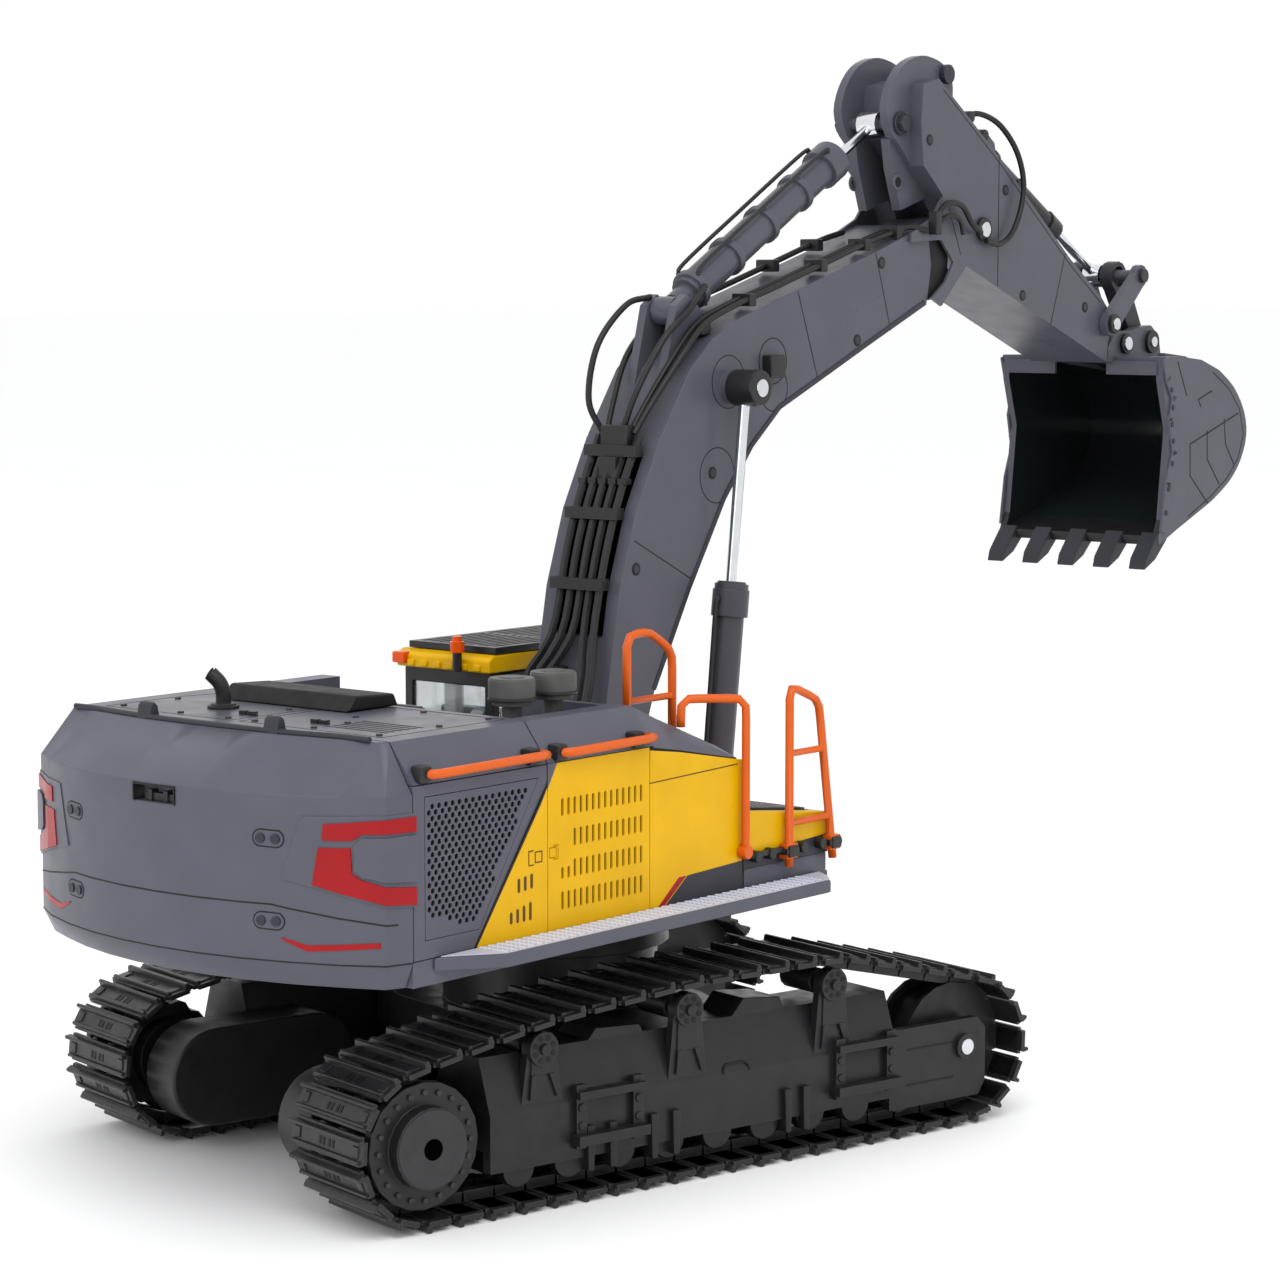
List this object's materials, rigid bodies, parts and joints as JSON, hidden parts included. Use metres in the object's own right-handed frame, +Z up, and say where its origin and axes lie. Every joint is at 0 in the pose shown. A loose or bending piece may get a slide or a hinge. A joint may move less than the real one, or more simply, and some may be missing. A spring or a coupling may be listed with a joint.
{
  "type": "radio-controlled excavator",
  "caption": "Radio-controlled tracked excavator with a slewing body, cab, boom, arm and bucket moved by hydraulic cylinders.",
  "frame": {"origin": "on the ground under the middle of the object's bounding box at rest", "axes": "+Z up, the crawler tracks run along Y, and the undercarriage and the boom reach towards -Y"},
  "size_m": [0.2558, 0.6014, 0.3826],
  "materials": {
    "body_paint": "satin slate grey moulding",
    "boom_paint": "satin slate grey painted moulding",
    "black_plastic": "black moulded plastic",
    "yellow_paint": "semi-gloss yellow moulding",
    "orange_rail": "semi-gloss orange",
    "polished_rod": "polished cylinder rod",
    "bare_steel": "bare pressed tread plate",
    "seat_rubber": "soft black"
  },
  "bodies": {
    "undercarriage": {"centre_frame": "black_plastic", "slew_ring": "bare_steel", "track_frame_right": "black_plastic", "track_chain_right": "black_plastic", "drive_motor_right": "black_plastic", "track_frame_left": "black_plastic", "track_chain_left": "black_plastic", "drive_motor_left": "black_plastic"},
    "upper_works": {"revolving_frame": "body_paint", "counterweight": "body_paint", "engine_hood": "body_paint", "side_hood_right": "body_paint", "side_hood_left": "body_paint", "grille_door_right": "body_paint", "vent_door_right": "yellow_paint", "side_door_left": "body_paint", "front_cover_right": "yellow_paint", "front_cover_left": "yellow_paint", "side_step_right": "bare_steel", "side_step_left": "bare_steel", "front_platform": "yellow_paint", "exhaust_pipe": "black_plastic", "air_filter_rear": "black_plastic", "air_filter_front": "black_plastic", "engine_hump": "black_plastic", "grab_bar_rear": "orange_rail", "grab_bar_front": "orange_rail", "hood_rail": "orange_rail", "body_rail": "orange_rail", "ladder_rail": "orange_rail", "cab_shell": "black_plastic", "cab_roof": "yellow_paint", "cab_roof_guard": "black_plastic", "cab_beacon": "orange_rail", "operator_seat": "seat_rubber", "battery_pack": "black_plastic"},
    "sprocket_right": {"sprocket_right": "black_plastic"},
    "idler_right": {"idler_right": "black_plastic"},
    "carrier_roller_right_1": {"carrier_roller_right_1": "black_plastic"},
    "carrier_roller_right_2": {"carrier_roller_right_2": "black_plastic"},
    "carrier_roller_right_3": {"carrier_roller_right_3": "black_plastic"},
    "sprocket_left": {"sprocket_left": "black_plastic"},
    "idler_left": {"idler_left": "black_plastic"},
    "carrier_roller_left_1": {"carrier_roller_left_1": "black_plastic"},
    "carrier_roller_left_2": {"carrier_roller_left_2": "black_plastic"},
    "carrier_roller_left_3": {"carrier_roller_left_3": "black_plastic"},
    "boom": {"boom": "boom_paint", "boom_pipes": "black_plastic"},
    "arm": {"arm": "boom_paint"},
    "bucket": {"bucket": "boom_paint"},
    "boom_cylinder_right": {"boom_cylinder_right": "black_plastic"},
    "boom_rod_right": {"boom_rod_right": "polished_rod"},
    "boom_cylinder_left": {"boom_cylinder_left": "black_plastic"},
    "boom_rod_left": {"boom_rod_left": "polished_rod"},
    "arm_cylinder": {"arm_cylinder": "boom_paint"},
    "arm_rod": {"arm_rod": "polished_rod"},
    "bucket_cylinder": {"bucket_cylinder": "black_plastic"},
    "bucket_rod": {"bucket_rod": "polished_rod"},
    "rocker": {"rocker": "boom_paint"},
    "bucket_link": {"bucket_link": "black_plastic"}
  },
  "joints": [
    {"name": "slew", "type": "hinge", "parent": "undercarriage", "child": "upper_works", "pos_m": [-0.00729, 0.11466, 0.07], "axis": [0, 0, 1], "continuous": true},
    {"name": "sprocket_right_spin", "type": "hinge", "parent": "undercarriage", "child": "sprocket_right", "pos_m": [-0.08159, 0.22966, 0.0273], "axis": [1, 0, 0], "continuous": true},
    {"name": "idler_right_spin", "type": "hinge", "parent": "undercarriage", "child": "idler_right", "pos_m": [-0.08159, -0.00034, 0.0273], "axis": [1, 0, 0], "continuous": true},
    {"name": "carrier_roller_right_1_spin", "type": "hinge", "parent": "undercarriage", "child": "carrier_roller_right_1", "pos_m": [-0.08159, 0.06066, 0.057], "axis": [1, 0, 0], "continuous": true},
    {"name": "carrier_roller_right_2_spin", "type": "hinge", "parent": "undercarriage", "child": "carrier_roller_right_2", "pos_m": [-0.08159, 0.12346, 0.0565], "axis": [1, 0, 0], "continuous": true},
    {"name": "carrier_roller_right_3_spin", "type": "hinge", "parent": "undercarriage", "child": "carrier_roller_right_3", "pos_m": [-0.08159, 0.18266, 0.0514], "axis": [1, 0, 0], "continuous": true},
    {"name": "sprocket_left_spin", "type": "hinge", "parent": "undercarriage", "child": "sprocket_left", "pos_m": [0.06701, 0.22966, 0.0273], "axis": [1, 0, 0], "continuous": true},
    {"name": "idler_left_spin", "type": "hinge", "parent": "undercarriage", "child": "idler_left", "pos_m": [0.06701, -0.00034, 0.0273], "axis": [1, 0, 0], "continuous": true},
    {"name": "carrier_roller_left_1_spin", "type": "hinge", "parent": "undercarriage", "child": "carrier_roller_left_1", "pos_m": [0.06701, 0.06066, 0.057], "axis": [1, 0, 0], "continuous": true},
    {"name": "carrier_roller_left_2_spin", "type": "hinge", "parent": "undercarriage", "child": "carrier_roller_left_2", "pos_m": [0.06701, 0.12346, 0.0565], "axis": [1, 0, 0], "continuous": true},
    {"name": "carrier_roller_left_3_spin", "type": "hinge", "parent": "undercarriage", "child": "carrier_roller_left_3", "pos_m": [0.06701, 0.18266, 0.0514], "axis": [1, 0, 0], "continuous": true},
    {"name": "boom_lift", "type": "hinge", "parent": "upper_works", "child": "boom", "pos_m": [-0.00428, 0.10202, 0.112], "axis": [-0.9728, -0.2317, 0], "range_deg": [-33, 9]},
    {"name": "arm_swing", "type": "hinge", "parent": "boom", "child": "arm", "pos_m": [0.04856, -0.11978, 0.316], "axis": [-0.9728, -0.2317, 0], "range_deg": [-42, 4]},
    {"name": "bucket_curl", "type": "hinge", "parent": "arm", "child": "bucket", "pos_m": [0.07475, -0.2297, 0.2695], "axis": [-0.9728, -0.2317, 0], "range_deg": [-45, 45]},
    {"name": "boom_cylinder_right_foot", "type": "hinge", "parent": "upper_works", "child": "boom_cylinder_right", "pos_m": [0.00673, 0.05581, 0.092], "axis": [-0.9728, -0.2317, 0], "range_deg": [-35, 10.5]},
    {"name": "boom_rod_right_pin", "type": "hinge", "parent": "boom", "child": "boom_rod_right", "pos_m": [0.01125, 0.03684, 0.2575], "axis": [-0.9728, -0.2317, 0], "range_deg": [-1, 1]},
    {"name": "boom_cylinder_left_foot", "type": "hinge", "parent": "upper_works", "child": "boom_cylinder_left", "pos_m": [0.00673, 0.05581, 0.092], "axis": [-0.9728, -0.2317, 0], "range_deg": [-35, 10.5]},
    {"name": "boom_rod_left_pin", "type": "hinge", "parent": "boom", "child": "boom_rod_left", "pos_m": [0.01125, 0.03684, 0.2575], "axis": [-0.9728, -0.2317, 0], "range_deg": [-1, 1]},
    {"name": "arm_cylinder_foot", "type": "hinge", "parent": "boom", "child": "arm_cylinder", "pos_m": [0.008, 0.05046, 0.285], "axis": [-0.9728, -0.2317, 0], "range_deg": [-1, 1]},
    {"name": "arm_rod_pin", "type": "hinge", "parent": "arm", "child": "arm_rod", "pos_m": [0.0372, -0.07211, 0.356], "axis": [-0.9728, -0.2317, 0], "range_deg": [-6, 46]},
    {"name": "rocker_pivot", "type": "hinge", "parent": "arm", "child": "rocker", "pos_m": [0.06988, -0.20927, 0.278], "axis": [-0.9728, -0.2317, 0], "range_deg": [-27, 27]},
    {"name": "bucket_link_pin", "type": "hinge", "parent": "bucket", "child": "bucket_link", "pos_m": [0.07961, -0.25013, 0.27], "axis": [-0.9728, -0.2317, 0], "range_deg": [-28, 28]},
    {"name": "bucket_cylinder_foot", "type": "hinge", "parent": "arm", "child": "bucket_cylinder", "pos_m": [0.05343, -0.1402, 0.35], "axis": [-0.9728, -0.2317, 0], "range_deg": [-3, 3]},
    {"name": "bucket_rod_pin", "type": "hinge", "parent": "rocker", "child": "bucket_rod", "pos_m": [0.07521, -0.23164, 0.298], "axis": [-0.9728, -0.2317, 0], "range_deg": [-25, 25]}
  ],
  "couplings": [
    {"joint": "idler_right_spin", "follows": "sprocket_right_spin", "ratio": 1},
    {"joint": "carrier_roller_right_1_spin", "follows": "sprocket_right_spin", "ratio": 4.1458},
    {"joint": "carrier_roller_right_2_spin", "follows": "sprocket_right_spin", "ratio": 4.1458},
    {"joint": "carrier_roller_right_3_spin", "follows": "sprocket_right_spin", "ratio": 4.1458},
    {"joint": "idler_left_spin", "follows": "sprocket_left_spin", "ratio": 1},
    {"joint": "carrier_roller_left_1_spin", "follows": "sprocket_left_spin", "ratio": 4.1458},
    {"joint": "carrier_roller_left_2_spin", "follows": "sprocket_left_spin", "ratio": 4.1458},
    {"joint": "carrier_roller_left_3_spin", "follows": "sprocket_left_spin", "ratio": 4.1458},
    {"joint": "boom_cylinder_right_foot", "follows": "boom_lift", "ratio": 0.98},
    {"joint": "boom_rod_right_pin", "follows": "boom_lift", "ratio": -0.02},
    {"joint": "boom_cylinder_left_foot", "follows": "boom_lift", "ratio": 0.98},
    {"joint": "boom_rod_left_pin", "follows": "boom_lift", "ratio": -0.02},
    {"joint": "arm_cylinder_foot", "follows": "arm_swing", "ratio": -0.01},
    {"joint": "arm_rod_pin", "follows": "arm_swing", "ratio": -1.01},
    {"joint": "rocker_pivot", "follows": "bucket_curl", "ratio": 0.578},
    {"joint": "bucket_link_pin", "follows": "bucket_curl", "ratio": -0.603},
    {"joint": "bucket_cylinder_foot", "follows": "bucket_curl", "ratio": 0.052},
    {"joint": "bucket_rod_pin", "follows": "bucket_curl", "ratio": -0.526}
  ]
}
